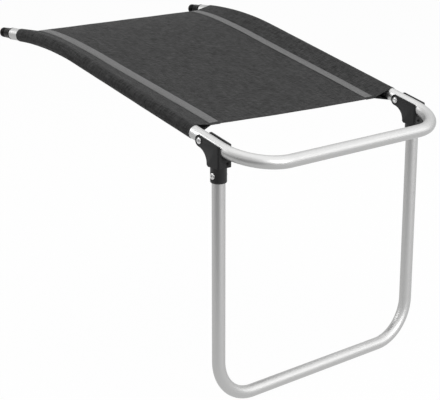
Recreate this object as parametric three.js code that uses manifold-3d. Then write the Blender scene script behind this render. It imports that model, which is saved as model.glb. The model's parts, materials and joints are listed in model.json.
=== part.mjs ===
// Folding leg rest for a camping chair. A bent tube frame with two arms carries a fabric sling. A bent
// tube leg hangs from two saddle brackets, which straddle the arms and turn on rivets. The arms end in
// plugs that go into the chair. Lengths are in millimetres. +X is across, +Y points to the chair, +Z is up.
import * as THREE from 'three';
import { mergeVertices, toCreasedNormals } from 'three/addons/utils/BufferGeometryUtils.js';
import Module from 'manifold-3d';

const wasm = await Module();
wasm.setup();

const { clamp, degToRad, lerp, smoothstep } = THREE.MathUtils;

// Clearances and cutting overrun
const SEAT_GAP = 0.3;
const CUT_OVERRUN = 5;

// Tube stock
const TUBE_DIAMETER = 22;
const TUBE_WALL = 1.2;
const TUBE_SIDES = 20;

// Arm frame: distances along an arm are counted from the pivot
const ARM_SPACING = 457;
const PIVOT_HEIGHT = 454;
const ARM_RISE = degToRad(13.15);
const FRONT_REACH = 115;
const FRONT_BEND_RADIUS = 79;
const FRONT_BEND_STEPS = 10;
const REAR_BEND_START = 355;
const REAR_BEND_RADIUS = 680;
const REAR_BEND_ANGLE = degToRad(15);
const REAR_BEND_STEPS = 5;
const ARM_END = 563;

// Leg
const PIVOT_SETBACK = 30.5;
const LEG_BEND_RADIUS = 74;
const LEG_BEND_STEPS = 10;

// Saddle bracket: depths are counted down from the pivot
const LOBE_RADIUS = 9.8;
const CHEEK_DROP = 1.2;
const CHEEK_THICKNESS = 2.7;
const CHEEK_GAP = 0.5;
const HEAD_FRONT = 16.5;
const HEAD_REAR = 12.5;
const HEAD_DEPTH = 38;
const HEAD_CORNER_RADIUS = 4;
const HEAD_REAR_CHAMFER = 3;
const HEAD_ARC_STEPS = 8;
const HEAD_CORNER_STEPS = 4;
const NECK_RADIUS = 24.5;
const WEB_SETBACK = 13.5;
const SADDLE_FLOOR = 2.6;
const CHANNEL_BEND_STEPS = 4;
const SOCKET_DIAMETER = 27;
const SOCKET_DEPTH = 64.3;
const SOCKET_RIM_RADIUS = 2.5;
const SOCKET_RIM_STEPS = 3;
const SOCKET_ROOT = 2.6;
const SOCKET_SIDES = 32;
const SOCKET_RIVET_DEPTH = 52;
const SPOTFACE_DEPTH = 0.8;
const SPOTFACE_MARGIN = 0.6;
const FRONT_EYE_OFFSET = 4;
const FRONT_EYE_HEIGHT = 7;
const FRONT_EYE_DIAMETER = 3.4;
const FRONT_EYE_DEPTH = 3;
const FRONT_EYE_RIM = 1.6;
const FRONT_EYE_SINK = 0.8;

// Rivets, washers and spacers
const RIVET_DIAMETER = 6;
const RIVET_SIDES = 16;
const RIVET_HEAD_DIAMETER = 10.5;
const RIVET_HEAD_HEIGHT = 1.8;
const RIVET_HEAD_EDGE = 0.6;
const RIVET_DIMPLE_DIAMETER = 3.6;
const RIVET_DIMPLE_DEPTH = 1.4;
const ROLLED_END_DIAMETER = 8.4;
const ROLLED_END_HEIGHT = 1.3;
const WASHER_DIAMETER = 10.8;
const WASHER_THICKNESS = 0.8;
const SPACER_DIAMETER = 9.2;

// End plugs, from the tip to the flange
const PLUG_TIP_DIAMETER = 18;
const PLUG_TIP_LENGTH = 12;
const PLUG_TIP_ROUND = 2;
const PLUG_GROOVE_DIAMETER = 14.6;
const PLUG_GROOVE_LENGTH = 2.4;
const PLUG_BODY_DIAMETER = 18.8;
const PLUG_BODY_LENGTH = 12;
const PLUG_TAPER_LENGTH = 4.6;
const PLUG_FLANGE_LENGTH = 4;
const PLUG_SPIGOT_LENGTH = 16;
const PLUG_SIDES = 28;
const PLUG_ROUND_STEPS = 3;

// Sling and its seam bands. Its front edge is cut back between the sleeves and sewn askew, further back on
// the left, and its rear edge stands above the arms
const CLOTH_THICKNESS = 1;
const SLING_FRONT = 27.5;
const SLING_REAR = 536.5;
const SLING_RUN_STEPS = 5;
const SLEEVE_END_SKEW = 3;
const FRONT_EDGE_SETBACK = 5;
const FRONT_EDGE_SKEW = 11.5;
const FRONT_EDGE_RUN = 160;
const SEAM_FRONT_OFFSET = 45.5;
const SEAM_REAR_OFFSET = 36;
const SLING_SAG = 2;
const SLING_SAG_STEPS = 8;
const SHEET_DROP = 3.3;
const SHEET_DROP_PLACE = 370;
const SHEET_DROP_REACH = 300;
const REAR_EDGE_LIFT = 5.7;
const REAR_LIFT_RUN = 157;
const SLEEVE_STEPS = 16;
const BAND_WIDTH = 19.5;
const BAND_THICKNESS = 1;
const BAND_INSET = 5;

// Derived sizes
const TUBE_RADIUS = TUBE_DIAMETER / 2;
const BORE_RADIUS = TUBE_RADIUS - TUBE_WALL;
const TUBE_CORNER_RADIUS = TUBE_RADIUS / Math.cos(Math.PI / TUBE_SIDES);
const HALF_SPACING = ARM_SPACING / 2;
const REAR_BEND_LENGTH = REAR_BEND_RADIUS * REAR_BEND_ANGLE;
const CHEEK_RISE = LOBE_RADIUS - CHEEK_DROP;
const RIVET_RADIUS = RIVET_DIAMETER / 2;
const RIVET_HOLE_RADIUS = RIVET_RADIUS + SEAT_GAP;
const CHANNEL_RADIUS = TUBE_RADIUS + CHEEK_GAP;
const HEAD_HALF_WIDTH = CHANNEL_RADIUS + CHEEK_THICKNESS;
const SOCKET_RADIUS = SOCKET_DIAMETER / 2;
const SOCKET_BORE_RADIUS = TUBE_CORNER_RADIUS + SEAT_GAP;
const SPOTFACE_DISTANCE = SOCKET_RADIUS - SPOTFACE_DEPTH;
const SLEEVE_INNER_RADIUS = TUBE_CORNER_RADIUS + SEAT_GAP;
const SLEEVE_OUTER_RADIUS = SLEEVE_INNER_RADIUS + CLOTH_THICKNESS;
const SEAM_REACH = HALF_SPACING - SEAM_FRONT_OFFSET;

const X_AXIS = new THREE.Vector3(1, 0, 0);
const Y_AXIS = new THREE.Vector3(0, 1, 0);
const Z_AXIS = new THREE.Vector3(0, 0, 1);
const ARM_DIRECTION = new THREE.Vector3(0, Math.cos(ARM_RISE), Math.sin(ARM_RISE));
const ARM_NORMAL = new THREE.Vector3(0, -Math.sin(ARM_RISE), Math.cos(ARM_RISE));

// Solids with manifold-3d
function toSolid(geometry) {
  const bare = geometry.clone();
  bare.deleteAttribute('normal');
  bare.deleteAttribute('uv');
  const welded = mergeVertices(bare);
  const vertProperties = Float32Array.from(welded.attributes.position.array);
  const triVerts = Uint32Array.from(welded.index.array);
  return new wasm.Manifold(new wasm.Mesh({ numProp: 3, vertProperties, triVerts }));
}

function toGeometry(solid) {
  const mesh = solid.getMesh();
  const geometry = new THREE.BufferGeometry();
  geometry.setAttribute('position', new THREE.BufferAttribute(mesh.vertProperties, 3));
  geometry.setIndex(new THREE.BufferAttribute(mesh.triVerts, 1));
  return geometry;
}

// A route of straight runs and round bends, for sweeping a section along
class Route extends THREE.Curve {
  constructor(points, tangents, up) {
    super();
    this.points = points;
    this.tangents = tangents;
    this.up = up;
  }

  getSpacedPoints() {
    return this.points;
  }

  computeFrenetFrames() {
    const binormals = this.tangents.map((t) => this.up.clone().addScaledVector(t, -this.up.dot(t)).normalize());
    const normals = binormals.map((b, i) => b.clone().cross(this.tangents[i]));
    return { tangents: this.tangents, normals, binormals };
  }
}

function walk(start, heading, moves, up) {
  const points = [start.clone()];
  const tangents = [heading.clone()];
  for (const move of moves) {
    const from = points.at(-1).clone();
    const direction = tangents.at(-1).clone();
    if (move.run !== undefined) {
      points.push(from.addScaledVector(direction, move.run));
      tangents.push(direction);
      continue;
    }
    const centre = from.clone().addScaledVector(move.axis.clone().cross(direction), move.radius);
    for (let step = 1; step <= move.steps; step += 1) {
      const angle = (move.angle * step) / move.steps;
      points.push(from.clone().sub(centre).applyAxisAngle(move.axis, angle).add(centre));
      tangents.push(direction.clone().applyAxisAngle(move.axis, angle));
    }
  }
  return new Route(points, tangents, up);
}

// A route that runs from the middle to the left, completed with its mirror image on the right
function mirrored(half) {
  const flip = (v) => new THREE.Vector3(-v.x, v.y, v.z);
  const leftPoints = half.points.slice(1).reverse();
  const leftTangents = half.tangents.slice(1).reverse().map((t) => t.clone().negate());
  const rightPoints = half.points.slice(1).map(flip);
  const rightTangents = half.tangents.slice(1).map(flip);
  return new Route([...leftPoints, ...rightPoints], [...leftTangents, ...rightTangents], half.up);
}

function sweep(section, route) {
  const steps = route.points.length - 1;
  return new THREE.ExtrudeGeometry(section, { steps, extrudePath: route, bevelEnabled: false });
}

// A regular polygon whose flats lie at the radius, with flats on all four axes
function ringPoints(radius, sides) {
  const corner = radius / Math.cos(Math.PI / sides);
  return Array.from({ length: sides }, (_, i) => {
    const angle = ((i + 1 / 2) * 2 * Math.PI) / sides;
    return new THREE.Vector2(corner * Math.cos(angle), corner * Math.sin(angle));
  });
}

function tubeSection() {
  const section = new THREE.Shape(ringPoints(TUBE_RADIUS, TUBE_SIDES));
  section.holes.push(new THREE.Path(ringPoints(BORE_RADIUS, TUBE_SIDES)));
  return section;
}

// A round bar along X, centred on a point
function crossBar(radius, length, centre) {
  const bar = new THREE.ExtrudeGeometry(new THREE.Shape(ringPoints(radius, RIVET_SIDES)), {
    depth: length,
    bevelEnabled: false,
  });
  bar.translate(0, 0, -length / 2);
  bar.rotateY(Math.PI / 2);
  bar.translate(centre.x, centre.y, centre.z);
  return toSolid(bar);
}

// A shape drawn in the YZ plane and extruded evenly to both sides of X = 0
function sideSlab(outline, width) {
  const slab = new THREE.ExtrudeGeometry(outline, {
    depth: width,
    bevelEnabled: false,
    curveSegments: HEAD_ARC_STEPS,
  });
  slab.translate(0, 0, -width / 2);
  slab.applyMatrix4(new THREE.Matrix4().set(0, 0, 1, 0, 1, 0, 0, 0, 0, 1, 0, 0, 0, 0, 0, 1));
  return toSolid(slab);
}

function box(width, depth, height, centre) {
  const block = new THREE.BoxGeometry(width, depth, height);
  block.translate(centre.x, centre.y, centre.z);
  return toSolid(block);
}

// The middle of an arm at a distance behind the pivot, seen along X, with its heading and its normal
function armPlace(distance) {
  const bend = clamp((distance - REAR_BEND_START) / REAR_BEND_RADIUS, 0, REAR_BEND_ANGLE);
  const slope = ARM_RISE - bend;
  const heading = new THREE.Vector3(0, Math.cos(slope), Math.sin(slope));
  const normal = new THREE.Vector3(0, -Math.sin(slope), Math.cos(slope));
  const point = ARM_DIRECTION.clone().multiplyScalar(Math.min(distance, REAR_BEND_START));
  point.addScaledVector(normal.clone().sub(ARM_NORMAL), REAR_BEND_RADIUS);
  point.addScaledVector(heading, Math.max(distance - REAR_BEND_START - REAR_BEND_LENGTH, 0));
  return { point, heading, normal };
}

const ARM_TIP = armPlace(ARM_END);

function seatFrame() {
  const start = ARM_DIRECTION.clone().multiplyScalar(-FRONT_REACH);
  const half = walk(
    start,
    X_AXIS.clone().negate(),
    [
      { run: HALF_SPACING - FRONT_BEND_RADIUS },
      {
        axis: ARM_NORMAL.clone().negate(),
        angle: Math.PI / 2,
        radius: FRONT_BEND_RADIUS,
        steps: FRONT_BEND_STEPS,
      },
      { run: FRONT_REACH - FRONT_BEND_RADIUS + REAR_BEND_START },
      {
        axis: X_AXIS.clone().negate(),
        angle: REAR_BEND_ANGLE,
        radius: REAR_BEND_RADIUS,
        steps: REAR_BEND_STEPS,
      },
      { run: ARM_END - REAR_BEND_START - REAR_BEND_LENGTH },
    ],
    ARM_NORMAL,
  );
  const tube = toSolid(sweep(tubeSection(), mirrored(half)));
  const drill = crossBar(RIVET_HOLE_RADIUS, ARM_SPACING + TUBE_DIAMETER + CUT_OVERRUN, new THREE.Vector3());
  return toGeometry(tube.subtract(drill));
}

// The leg frame stands in the plane of its own axis, with its bar on the floor
const LEG_TOP = legTop();

function legTop() {
  const legFront = -PIVOT_SETBACK - TUBE_RADIUS;
  const floorBelowAxis = (CHANNEL_RADIUS + SADDLE_FLOOR) / Math.cos(ARM_RISE);
  return legFront * Math.tan(ARM_RISE) - floorBelowAxis - SEAT_GAP;
}

function legFrame() {
  const start = new THREE.Vector3(0, -PIVOT_SETBACK, TUBE_RADIUS - PIVOT_HEIGHT);
  const half = walk(
    start,
    X_AXIS.clone().negate(),
    [
      { run: HALF_SPACING - LEG_BEND_RADIUS },
      { axis: Y_AXIS, angle: Math.PI / 2, radius: LEG_BEND_RADIUS, steps: LEG_BEND_STEPS },
      { run: LEG_TOP - start.z - LEG_BEND_RADIUS },
    ],
    Y_AXIS,
  );
  const tube = toSolid(sweep(tubeSection(), mirrored(half)));
  const centre = new THREE.Vector3(0, -PIVOT_SETBACK, -SOCKET_RIVET_DEPTH);
  const drill = crossBar(RIVET_HOLE_RADIUS, ARM_SPACING + TUBE_DIAMETER + CUT_OVERRUN, centre);
  return toGeometry(tube.subtract(drill));
}

// Bracket head from the side: a lobe round the pivot, a top edge along the arm, a concave neck behind
function headOutline() {
  const front = -PIVOT_SETBACK - HEAD_FRONT;
  const rear = -PIVOT_SETBACK + HEAD_REAR;
  const neckY = rear + NECK_RADIUS;
  const neckReach = LOBE_RADIUS + NECK_RADIUS;
  const neckZ = -Math.sqrt(neckReach ** 2 - neckY ** 2);
  const neckAngle = Math.atan2(neckZ, neckY);
  const topDistance = (front + CHEEK_RISE * Math.sin(ARM_RISE)) / Math.cos(ARM_RISE);
  const topZ = topDistance * Math.sin(ARM_RISE) + CHEEK_RISE * Math.cos(ARM_RISE);
  const lobeEnd = ARM_RISE + Math.asin(CHEEK_RISE / LOBE_RADIUS);
  const outline = new THREE.Shape();
  outline.moveTo(front, topZ);
  outline.lineTo(front, -HEAD_DEPTH);
  outline.lineTo(rear - HEAD_REAR_CHAMFER, -HEAD_DEPTH);
  outline.lineTo(rear, HEAD_REAR_CHAMFER - HEAD_DEPTH);
  outline.absarc(neckY, neckZ, NECK_RADIUS, Math.PI, neckAngle + Math.PI, true);
  outline.absarc(0, 0, LOBE_RADIUS, neckAngle, lobeEnd, false);
  return outline;
}

// Bracket head from above: a rectangle with two rounded front corners
function headPlan() {
  const front = -PIVOT_SETBACK - HEAD_FRONT;
  const rear = LOBE_RADIUS + CUT_OVERRUN;
  const round = HEAD_CORNER_RADIUS;
  const outline = new THREE.Shape();
  outline.moveTo(-HEAD_HALF_WIDTH, rear);
  outline.lineTo(-HEAD_HALF_WIDTH, front + round);
  outline.absarc(round - HEAD_HALF_WIDTH, front + round, round, Math.PI, (3 / 2) * Math.PI, false);
  outline.absarc(HEAD_HALF_WIDTH - round, front + round, round, (3 / 2) * Math.PI, 2 * Math.PI, false);
  outline.lineTo(HEAD_HALF_WIDTH, rear);
  return outline;
}

function headBlock() {
  const side = sideSlab(headOutline(), 2 * HEAD_HALF_WIDTH + CUT_OVERRUN);
  const height = HEAD_DEPTH + LOBE_RADIUS + 2 * CUT_OVERRUN;
  const plan = new THREE.ExtrudeGeometry(headPlan(), {
    depth: height,
    bevelEnabled: false,
    curveSegments: HEAD_CORNER_STEPS,
  });
  plan.translate(0, 0, -HEAD_DEPTH - CUT_OVERRUN);
  return side.intersect(toSolid(plan));
}

// Round socket below the head, with a rounded rim, rooted a little way up in the head
function socketBarrel() {
  const profile = new THREE.Path();
  profile.moveTo(0, -SOCKET_DEPTH);
  profile.lineTo(SOCKET_RADIUS - SOCKET_RIM_RADIUS, -SOCKET_DEPTH);
  profile.absarc(
    SOCKET_RADIUS - SOCKET_RIM_RADIUS,
    SOCKET_RIM_RADIUS - SOCKET_DEPTH,
    SOCKET_RIM_RADIUS,
    -Math.PI / 2,
    0,
    false,
  );
  profile.lineTo(SOCKET_RADIUS, SOCKET_ROOT - HEAD_DEPTH);
  profile.lineTo(0, SOCKET_ROOT - HEAD_DEPTH);
  const barrel = new THREE.LatheGeometry(profile.getPoints(SOCKET_RIM_STEPS), SOCKET_SIDES);
  barrel.rotateX(Math.PI / 2);
  barrel.translate(0, -PIVOT_SETBACK, 0);
  return toSolid(barrel);
}

// The channel for the arm has a round floor and upright walls, and follows the start of the corner bend
function armChannel() {
  const height = LOBE_RADIUS + CUT_OVERRUN;
  const section = new THREE.Shape();
  section.moveTo(CHANNEL_RADIUS, height);
  section.lineTo(-CHANNEL_RADIUS, height);
  section.absarc(0, 0, CHANNEL_RADIUS, Math.PI, 2 * Math.PI, false);
  const behind = LOBE_RADIUS + CUT_OVERRUN;
  const straight = FRONT_REACH - FRONT_BEND_RADIUS;
  const ahead = HEAD_FRONT + PIVOT_SETBACK + 2 * CUT_OVERRUN - straight;
  const route = walk(
    ARM_DIRECTION.clone().multiplyScalar(behind),
    ARM_DIRECTION.clone().negate(),
    [
      { run: behind + straight },
      {
        axis: ARM_NORMAL,
        angle: ahead / FRONT_BEND_RADIUS,
        radius: FRONT_BEND_RADIUS,
        steps: CHANNEL_BEND_STEPS,
      },
    ],
    ARM_NORMAL,
  );
  return toSolid(sweep(section, route));
}

// Behind the saddle the cheeks stand free, so that the arm clears the web when the leg folds
function foldClearance() {
  const depth = WEB_SETBACK + LOBE_RADIUS + CUT_OVERRUN;
  const height = 2 * (HEAD_DEPTH - HEAD_REAR_CHAMFER);
  const centre = new THREE.Vector3(0, depth / 2 - WEB_SETBACK, 0);
  return box(2 * CHANNEL_RADIUS, depth, height, centre);
}

function socketBore() {
  const height = SOCKET_DEPTH + LEG_TOP + SEAT_GAP + CUT_OVERRUN;
  const bore = new THREE.ExtrudeGeometry(new THREE.Shape(ringPoints(SOCKET_BORE_RADIUS, TUBE_SIDES)), {
    depth: height,
    bevelEnabled: false,
  });
  bore.translate(0, -PIVOT_SETBACK, -SOCKET_DEPTH - CUT_OVERRUN);
  return toSolid(bore);
}

function spotface(side) {
  const radius = WASHER_DIAMETER / 2 + SPOTFACE_MARGIN;
  const offset = side * (SPOTFACE_DISTANCE + CUT_OVERRUN / 2);
  return crossBar(radius, CUT_OVERRUN, new THREE.Vector3(offset, -PIVOT_SETBACK, -SOCKET_RIVET_DEPTH));
}

// A small blind eye with a sunk rim in the head's front face
function frontEye() {
  const radius = FRONT_EYE_DIAMETER / 2;
  const profile = [
    new THREE.Vector2(0, -FRONT_EYE_DEPTH),
    new THREE.Vector2(radius, -FRONT_EYE_DEPTH),
    new THREE.Vector2(radius, -FRONT_EYE_SINK),
    new THREE.Vector2(radius + FRONT_EYE_RIM, -FRONT_EYE_SINK),
    new THREE.Vector2(radius + FRONT_EYE_RIM, CUT_OVERRUN),
    new THREE.Vector2(0, CUT_OVERRUN),
  ];
  const eye = new THREE.LatheGeometry(profile, RIVET_SIDES);
  eye.rotateX(Math.PI);
  eye.translate(FRONT_EYE_OFFSET, -PIVOT_SETBACK - HEAD_FRONT, FRONT_EYE_HEIGHT - HEAD_DEPTH);
  return toSolid(eye);
}

// The left bracket about its own arm; the right one is its mirror image
function hingeBracket() {
  const width = 2 * HEAD_HALF_WIDTH + CUT_OVERRUN;
  const socketPin = new THREE.Vector3(0, -PIVOT_SETBACK, -SOCKET_RIVET_DEPTH);
  const cuts = [
    armChannel(),
    foldClearance(),
    socketBore(),
    crossBar(RIVET_HOLE_RADIUS, width, new THREE.Vector3()),
    crossBar(RIVET_HOLE_RADIUS, width, socketPin),
    spotface(-1),
    spotface(1),
    frontEye(),
  ];
  return cuts.reduce((solid, cut) => solid.subtract(cut), headBlock().add(socketBarrel()));
}

// A rivet through two walls: a domed head outside, a rolled end inside, each with a dimple
function rivet(outerFace, innerFace) {
  const head = RIVET_HEAD_DIAMETER / 2;
  const rolled = ROLLED_END_DIAMETER / 2;
  const dimple = RIVET_DIMPLE_DIAMETER / 2;
  const outer = outerFace + SEAT_GAP;
  const inner = innerFace + SEAT_GAP + WASHER_THICKNESS + SEAT_GAP;
  const headTop = outer + RIVET_HEAD_HEIGHT;
  const rolledTop = inner + ROLLED_END_HEIGHT;
  const profile = [
    [0, -headTop + RIVET_DIMPLE_DEPTH],
    [dimple, -headTop],
    [(head + dimple) / 2, -headTop],
    [head, -outer - RIVET_HEAD_EDGE],
    [head, -outer],
    [RIVET_RADIUS, -outer],
    [RIVET_RADIUS, inner],
    [rolled, inner],
    [rolled, inner + ROLLED_END_HEIGHT / 2],
    [(rolled + dimple) / 2, rolledTop],
    [dimple, rolledTop],
    [0, rolledTop - RIVET_DIMPLE_DEPTH],
  ].map(([radius, along]) => new THREE.Vector2(radius, along));
  const body = new THREE.LatheGeometry(profile, RIVET_SIDES);
  body.rotateZ(-Math.PI / 2);
  return body;
}

// A flat ring about X, from one distance to another
function ring(innerRadius, outerRadius, from, to) {
  const profile = [
    new THREE.Vector2(innerRadius, from),
    new THREE.Vector2(outerRadius, from),
    new THREE.Vector2(outerRadius, to),
    new THREE.Vector2(innerRadius, to),
    new THREE.Vector2(innerRadius, from),
  ];
  const body = new THREE.LatheGeometry(profile, RIVET_SIDES);
  body.rotateZ(-Math.PI / 2);
  return body;
}

function washer(face) {
  const near = face + SEAT_GAP;
  return ring(RIVET_HOLE_RADIUS, WASHER_DIAMETER / 2, near, near + WASHER_THICKNESS);
}

// A spacer round the rivet inside the arm keeps the tube from being crushed
function pivotSpacer() {
  const radius = SPACER_DIAMETER / 2;
  const reach = Math.sqrt(BORE_RADIUS ** 2 - radius ** 2) - SEAT_GAP;
  return ring(RIVET_HOLE_RADIUS, radius, -reach, reach);
}

// Plug profile from the spigot inside the tube to the rounded tip
function endPlug() {
  const spigot = BORE_RADIUS - SEAT_GAP;
  const body = PLUG_BODY_DIAMETER / 2;
  const groove = PLUG_GROOVE_DIAMETER / 2;
  const tip = PLUG_TIP_DIAMETER / 2;
  const stations = [
    [0, -PLUG_SPIGOT_LENGTH],
    [spigot - PLUG_TIP_ROUND / 2, -PLUG_SPIGOT_LENGTH],
    [spigot, PLUG_TIP_ROUND / 2 - PLUG_SPIGOT_LENGTH],
    [spigot, SEAT_GAP],
    [TUBE_RADIUS, SEAT_GAP],
  ];
  let along = SEAT_GAP + PLUG_FLANGE_LENGTH;
  stations.push([TUBE_RADIUS, along]);
  along += PLUG_TAPER_LENGTH;
  stations.push([body, along]);
  along += PLUG_BODY_LENGTH;
  stations.push([body, along]);
  stations.push([groove, along]);
  along += PLUG_GROOVE_LENGTH;
  stations.push([groove, along]);
  stations.push([tip, along]);
  along += PLUG_TIP_LENGTH;
  for (let step = 0; step <= PLUG_ROUND_STEPS; step += 1) {
    const angle = (step / PLUG_ROUND_STEPS) * (Math.PI / 2);
    const radius = tip - PLUG_TIP_ROUND * (1 - Math.cos(angle));
    stations.push([radius, along - PLUG_TIP_ROUND * (1 - Math.sin(angle))]);
  }
  stations.push([0, along]);
  const profile = stations.map(([radius, distance]) => new THREE.Vector2(radius, distance));
  return new THREE.LatheGeometry(profile, PLUG_SIDES);
}

const PLUG_LENGTH = SEAT_GAP + PLUG_FLANGE_LENGTH + PLUG_TAPER_LENGTH + PLUG_BODY_LENGTH
  + PLUG_GROOVE_LENGTH + PLUG_TIP_LENGTH;

// Where the sections of the sling and of its bands stand, on a straight route along the sling's length
function lengthRoute(from, to) {
  const runs = Array.from({ length: SLING_RUN_STEPS }, (_, i) => {
    return lerp(SLING_FRONT, REAR_BEND_START, i / SLING_RUN_STEPS);
  });
  const bends = Array.from({ length: REAR_BEND_STEPS + 1 }, (_, i) => {
    return REAR_BEND_START + (REAR_BEND_LENGTH * i) / REAR_BEND_STEPS;
  });
  const between = [...runs, ...bends].filter((stop) => stop > from && stop < to);
  const points = [from, ...between, to].map((stop) => new THREE.Vector3(0, stop, 0));
  return new Route(points, points.map(() => Y_AXIS), Z_AXIS);
}

// How far inboard of the arms' axes the seams lie: they run outwards to the rear
function seamOffset(distance) {
  const share = (distance - SLING_FRONT) / (SLING_REAR - SLING_FRONT);
  return lerp(SEAM_FRONT_OFFSET, SEAM_REAR_OFFSET, share);
}

// How much of the rear edge's lift is reached
function liftShare(distance) {
  return smoothstep(distance, SLING_REAR - REAR_LIFT_RUN, SLING_REAR);
}

// Height of the seams above the arms' plane
function seamHeight(distance) {
  const reach = (distance - SHEET_DROP_PLACE) / SHEET_DROP_REACH;
  return REAR_EDGE_LIFT * liftShare(distance) - SHEET_DROP * Math.max(0, 1 - reach ** 2) ** 2;
}

// The sheet's drop below its seams, with the seams' places taken as they are at the front
function sheetSag(x, distance) {
  return SLING_SAG * (1 - liftShare(distance)) * Math.max(0, 1 - (x / SEAM_REACH) ** 2);
}

// Where the flat sides of a sleeve leave its round part, as an angle from the seam
function sleeveTangentAngle() {
  const half = CLOTH_THICKNESS / 2;
  const seamDistance = Math.hypot(SEAM_FRONT_OFFSET, half);
  return Math.atan2(half, SEAM_FRONT_OFFSET) + Math.acos(SLEEVE_OUTER_RADIUS / seamDistance);
}

// Across the sling, from its straight section to its true one: a sleeve turns about its arm with the seam
function drapedSection(x, height, distance) {
  const inboard = HALF_SPACING - Math.abs(x);
  const offset = seamOffset(distance);
  const lift = seamHeight(distance);
  if (inboard > SEAM_FRONT_OFFSET - CLOTH_THICKNESS / 2) {
    const spread = (HALF_SPACING - offset) / SEAM_REACH;
    return [x * spread, height + lift - sheetSag(x, distance)];
  }
  const tangentPlace = SLEEVE_OUTER_RADIUS * Math.cos(sleeveTangentAngle());
  const stretch = (Math.hypot(offset, lift) - tangentPlace) / (SEAM_FRONT_OFFSET - tangentPlace);
  const beyond = Math.max(0, inboard - tangentPlace);
  const place = new THREE.Vector2(inboard + beyond * (stretch - 1), height);
  place.rotateAround(new THREE.Vector2(), Math.atan2(lift, offset));
  return [Math.sign(x) * (HALF_SPACING - place.x), place.y];
}

// How far back the front edge lies from where the sleeves start on average
function edgeSetback(x) {
  const sleeveShare = clamp((Math.abs(x) - SEAM_REACH) / SEAM_FRONT_OFFSET, 0, 1);
  const betweenSeams = FRONT_EDGE_SETBACK - FRONT_EDGE_SKEW * clamp(x / SEAM_REACH, -1, 1);
  return lerp(betweenSeams, -SLEEVE_END_SKEW * Math.sign(x), sleeveShare);
}

// Lays a solid drawn on the straight route on the arms, with the sling's front edge in its true place
function drape(geometry) {
  const { position } = geometry.attributes;
  for (let i = 0; i < position.count; i += 1) {
    const distance = position.getY(i);
    const [x, height] = drapedSection(position.getX(i), position.getZ(i), distance);
    const edgeShare = Math.max(0, 1 - (distance - SLING_FRONT) / FRONT_EDGE_RUN);
    const { point, normal } = armPlace(distance + edgeShare * edgeSetback(x));
    point.addScaledVector(normal, height);
    position.setXYZ(i, x, point.y, point.z);
  }
  return geometry;
}

// Points round the outer side of a sleeve, between the tangents from its seam
function sleeveArc(radius) {
  const tangentAngle = sleeveTangentAngle();
  return Array.from({ length: SLEEVE_STEPS + 1 }, (_, i) => {
    const angle = tangentAngle + ((2 * Math.PI - 2 * tangentAngle) * i) / SLEEVE_STEPS;
    return new THREE.Vector2(radius * Math.cos(angle), radius * Math.sin(angle));
  });
}

// Straight section of the sling: a flat sheet that ends in a drop shaped sleeve round each arm
function slingSection() {
  const half = CLOTH_THICKNESS / 2;
  const apex = SLEEVE_INNER_RADIUS / Math.cos(sleeveTangentAngle());
  const place = (p) => new THREE.Vector2(p.x - HALF_SPACING, p.y);
  const flip = (p) => new THREE.Vector2(-p.x, p.y);
  const across = Array.from({ length: SLING_SAG_STEPS + 1 }, (_, i) => {
    return SEAM_REACH - (2 * SEAM_REACH * i) / SLING_SAG_STEPS;
  });
  const top = across.map((x) => new THREE.Vector2(x, half));
  const bottom = across.map((x) => new THREE.Vector2(x, -half)).reverse();
  const leftSleeve = sleeveArc(SLEEVE_OUTER_RADIUS).map(place);
  const rightSleeve = leftSleeve.map(flip).reverse();
  const section = new THREE.Shape([...top, ...leftSleeve, ...bottom, ...rightSleeve]);
  const pocket = [...sleeveArc(SLEEVE_INNER_RADIUS), new THREE.Vector2(apex, 0)].map(place);
  section.holes.push(new THREE.Path(pocket), new THREE.Path(pocket.map(flip).reverse()));
  return section;
}

function sling() {
  return drape(sweep(slingSection(), lengthRoute(SLING_FRONT, SLING_REAR)));
}

// A seam band lies on the sheet, inboard of its sleeve
function seamBand(side) {
  const outer = SEAM_REACH - SEAT_GAP;
  const inner = outer - BAND_WIDTH;
  const base = CLOTH_THICKNESS / 2 + SEAT_GAP;
  const section = new THREE.Shape();
  section.moveTo(-side * outer, base);
  section.lineTo(-side * outer, base + BAND_THICKNESS);
  section.lineTo(-side * inner, base + BAND_THICKNESS);
  section.lineTo(-side * inner, base);
  return drape(sweep(section, lengthRoute(SLING_FRONT + BAND_INSET, SLING_REAR - BAND_INSET)));
}

// Materials
const FINISHES = {
  tube: { color: 0xc9cbce, roughness: 0.34, metalness: 0.9 },
  rivet: { color: 0xd8d8d8, roughness: 0.3, metalness: 0.95 },
  plastic: { color: 0x2b2c2e, roughness: 0.6, metalness: 0 },
  plug: { color: 0x1b1b1d, roughness: 0.4, metalness: 0 },
  nylon: { color: 0xe4e2da, roughness: 0.6, metalness: 0 },
  cloth: { color: 0x4b4b4d, roughness: 0.92, metalness: 0 },
  band: { color: 0x7a7a7c, roughness: 0.85, metalness: 0 },
};

const CREASE = degToRad(32);

function part(name, geometry, finish) {
  const bare = geometry.clone();
  bare.deleteAttribute('uv');
  bare.deleteAttribute('normal');
  const shaded = toCreasedNormals(mergeVertices(bare), CREASE);
  const mesh = new THREE.Mesh(shaded, new THREE.MeshStandardMaterial(FINISHES[finish]));
  mesh.name = name;
  return mesh;
}

const assembly = new THREE.Group();
const frontFace = -FRONT_REACH * Math.cos(ARM_RISE) - TUBE_RADIUS;
const rearFace = ARM_TIP.point.y + PLUG_LENGTH * ARM_TIP.heading.y;
assembly.position.set(0, -(frontFace + rearFace) / 2, PIVOT_HEIGHT);

assembly.add(part('seat_frame', seatFrame(), 'tube'));
assembly.add(part('leg_frame', legFrame(), 'tube'));
assembly.add(part('sling', sling(), 'cloth'));

const leftBracket = hingeBracket();
const brackets = { left: toGeometry(leftBracket), right: toGeometry(leftBracket.mirror([1, 0, 0])) };

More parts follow.
